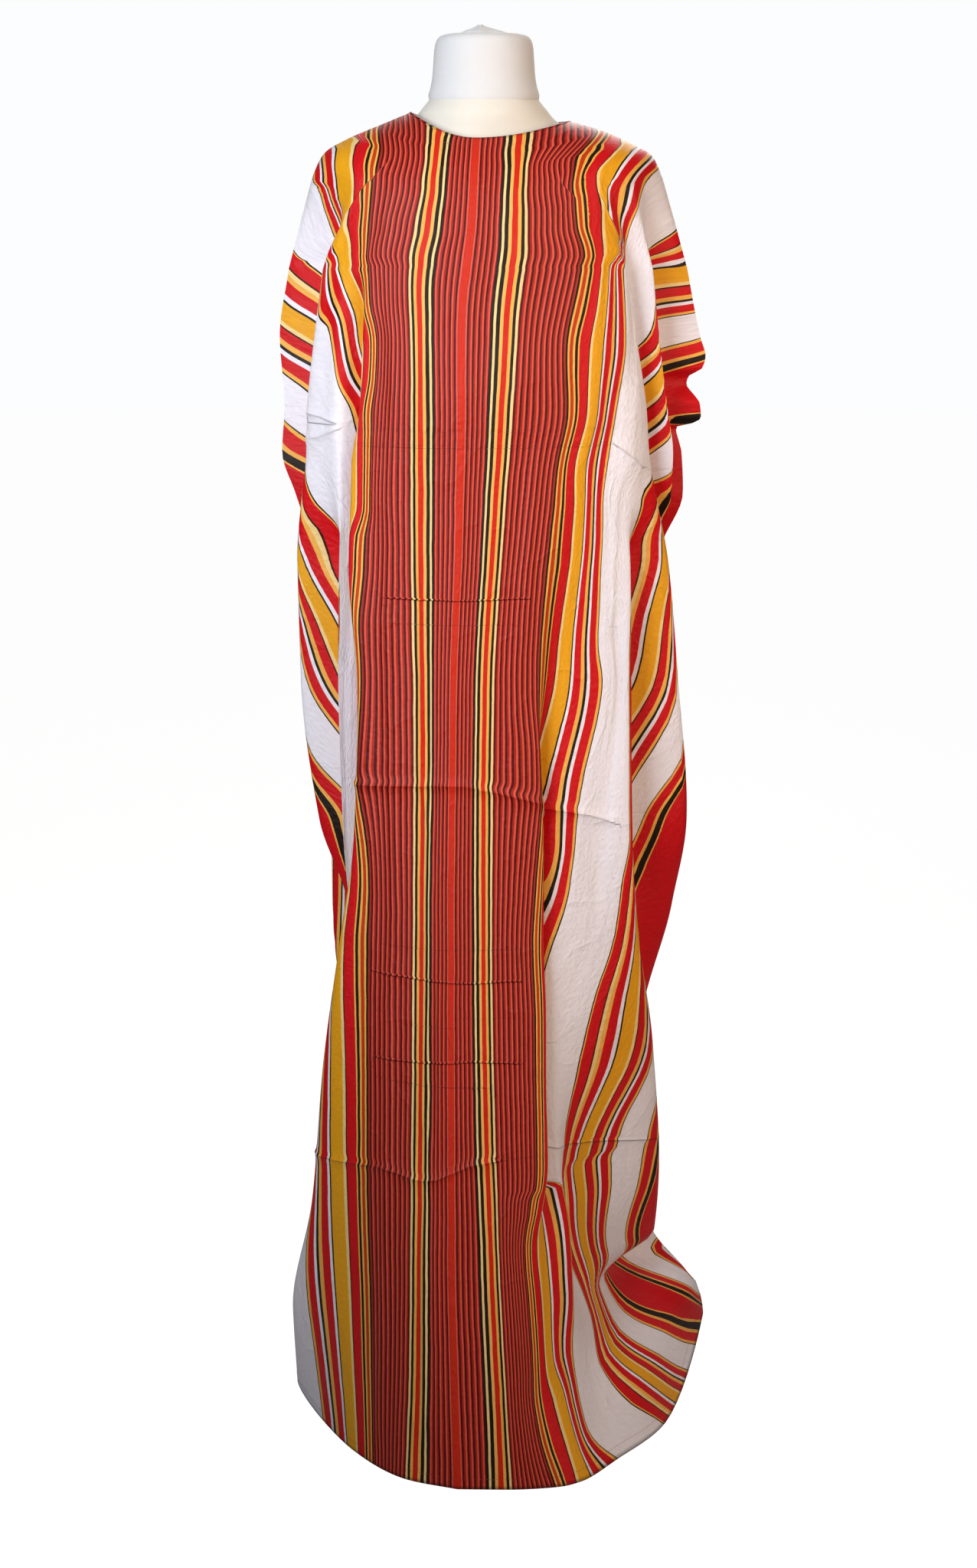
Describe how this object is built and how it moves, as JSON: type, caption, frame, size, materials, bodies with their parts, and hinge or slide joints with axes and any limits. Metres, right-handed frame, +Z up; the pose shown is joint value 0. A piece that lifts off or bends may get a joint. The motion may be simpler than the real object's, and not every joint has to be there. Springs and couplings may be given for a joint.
{
  "type": "baati dress on dress form",
  "caption": "Floor-length striped kaftan dress with grown-on sleeves and open cuffs, hanging in folds on a limbless dress form with a round neck, a pole and a disc base.",
  "frame": {"origin": "centre of the stand's base plate, on the surface that it stands on", "axes": "+Z up along the pole, the dress's front faces -Y, +X to the right of someone who looks at the front"},
  "size_m": [0.52, 0.5498, 1.5981],
  "materials": {
    "striped_cloth": "woven satin stripes in red, gold, black and white",
    "form_jersey": "ivory jersey cover",
    "neck_cover": "smooth white cover",
    "stand_steel": "light grey paint"
  },
  "bodies": {
    "root": {"front_panel": "striped_cloth", "back_panel": "striped_cloth", "form_torso": "form_jersey", "form_neck": "neck_cover", "form_knob": "neck_cover", "stand_pole": "stand_steel", "stand_base": "stand_steel"}
  },
  "joints": []
}
